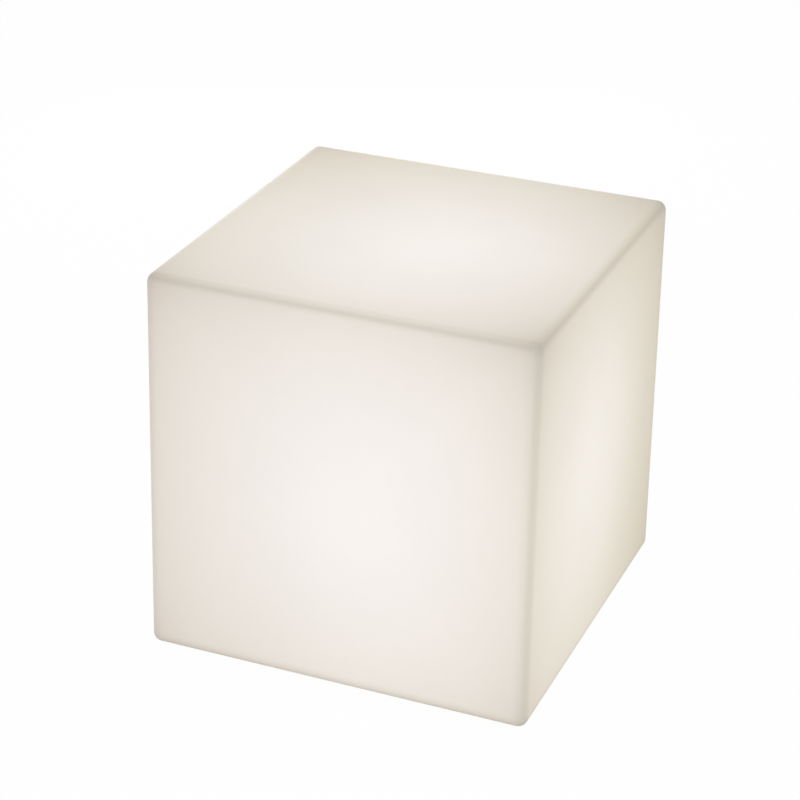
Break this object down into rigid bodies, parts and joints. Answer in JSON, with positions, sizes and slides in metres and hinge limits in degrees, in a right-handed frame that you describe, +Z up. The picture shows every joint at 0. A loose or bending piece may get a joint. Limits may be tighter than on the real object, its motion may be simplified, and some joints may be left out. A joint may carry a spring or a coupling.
{
  "type": "led cube light",
  "caption": "Free-standing glowing cube light: translucent moulded shell, sealed rechargeable base module with push buttons and a capped charging socket, and a central lamp column.",
  "frame": {"origin": "on the ground, under the middle of the cube, in the plane of the feet's lower faces", "axes": "+Z up, -Y towards the front face that the picture shows on the left, +X to the right"},
  "size_m": [0.3998, 0.3998, 0.4045],
  "materials": {
    "shell_plastic": "smooth matte translucent polyethylene, lit from inside",
    "foot_rubber": "matte",
    "brass": "turned",
    "cover_plastic": "fine moulded texture",
    "silicone": "smooth",
    "stainless_steel": "bright",
    "zinc_steel": "zinc plated",
    "spring_steel": "drawn wire",
    "nickel_nut": "nickel plated",
    "nickel_strip": "rolled",
    "cell_sleeve": "metal can in a shrunk plastic sleeve",
    "inner_plastic": "plain moulded",
    "foam": "closed-cell foam",
    "circuit_board": "solder mask",
    "chip_black": "moulded epoxy",
    "coil_grey": "pressed ferrite",
    "connector_plastic": "moulded nylon",
    "control_black": "satin moulded",
    "rubber_black": "smooth",
    "cap_rubber": "soft matte",
    "button_red": "satin moulded",
    "button_grey": "satin moulded",
    "clear_plastic": "clear, polished",
    "indicator_lens": "tinted lens",
    "deck_aluminium": "rolled sheet",
    "mast_aluminium": "die cast",
    "lamp_board": "white solder mask on metal",
    "lamp_phosphor": "lamp package, lit",
    "frosted_plastic": "frosted polycarbonate",
    "wire_red": "insulation",
    "wire_black": "insulation",
    "wire_white": "insulation",
    "cable_grey": "sheath"
  },
  "bodies": {
    "base": {"base_cover": "cover_plastic", "battery_cell_1": "cell_sleeve", "battery_cell_2": "cell_sleeve", "battery_cell_3": "cell_sleeve", "battery_clamp": "inner_plastic", "battery_cradle": "inner_plastic", "battery_lead_black": "wire_black", "battery_lead_red": "wire_red", "battery_pad": "foam", "board_chips": "chip_black", "board_coils": "coil_grey", "board_connectors": "connector_plastic", "button_leads": "wire_white", "cable_grommet": "rubber_black", "cell_strips": "nickel_strip", "charge_jack": "control_black", "charge_jack_nut": "nickel_nut", "charge_jack_seal": "rubber_black", "charge_led": "indicator_lens", "charge_light_pipe": "clear_plastic", "column_diffuser": "frosted_plastic", "column_screws": "zinc_steel", "control_board": "circuit_board", "cover_gasket": "silicone", "cover_screws": "stainless_steel", "deck_plate": "deck_aluminium", "deck_screws": "zinc_steel", "diffuser_ring": "inner_plastic", "foot_back_left": "foot_rubber", "foot_back_right": "foot_rubber", "foot_front_left": "foot_rubber", "foot_front_right": "foot_rubber", "inner_screws": "zinc_steel", "jack_cap_anchor": "cap_rubber", "jack_leads": "wire_black", "led_board_back": "lamp_board", "led_board_front": "lamp_board", "led_board_left": "lamp_board", "led_board_right": "lamp_board", "led_board_screws": "zinc_steel", "led_cable": "cable_grey", "led_mast": "mast_aluminium", "led_packages": "lamp_phosphor", "mode_button_body": "control_black", "mode_button_nut": "nickel_nut", "mode_button_seal": "rubber_black", "mode_button_spring": "spring_steel", "power_button_body": "control_black", "power_button_nut": "nickel_nut", "power_button_seal": "rubber_black", "power_button_spring": "spring_steel", "shell": "shell_plastic", "threaded_inserts": "brass", "top_led_board": "lamp_board"},
    "power_plunger": {"power_button_plunger": "button_red"},
    "mode_plunger": {"mode_button_plunger": "button_grey"},
    "jack_cap": {"jack_cap": "cap_rubber"}
  },
  "joints": [
    {"name": "power_press", "type": "slide", "parent": "base", "child": "power_plunger", "axis": [0, 0, 1], "range_m": [0, 0.0015], "stiffness_N_per_m": 430, "springref_m": -0.0025, "deforming": ["power_button_spring"]},
    {"name": "mode_press", "type": "slide", "parent": "base", "child": "mode_plunger", "axis": [0, 0, 1], "range_m": [0, 0.0015], "stiffness_N_per_m": 430, "springref_m": -0.0025, "deforming": ["mode_button_spring"]},
    {"name": "jack_cap_swing", "type": "hinge", "parent": "base", "child": "jack_cap", "pos_m": [0, -0.0615, 0.0124], "axis": [-1, 0, 0], "range_deg": [0, 120]}
  ]
}
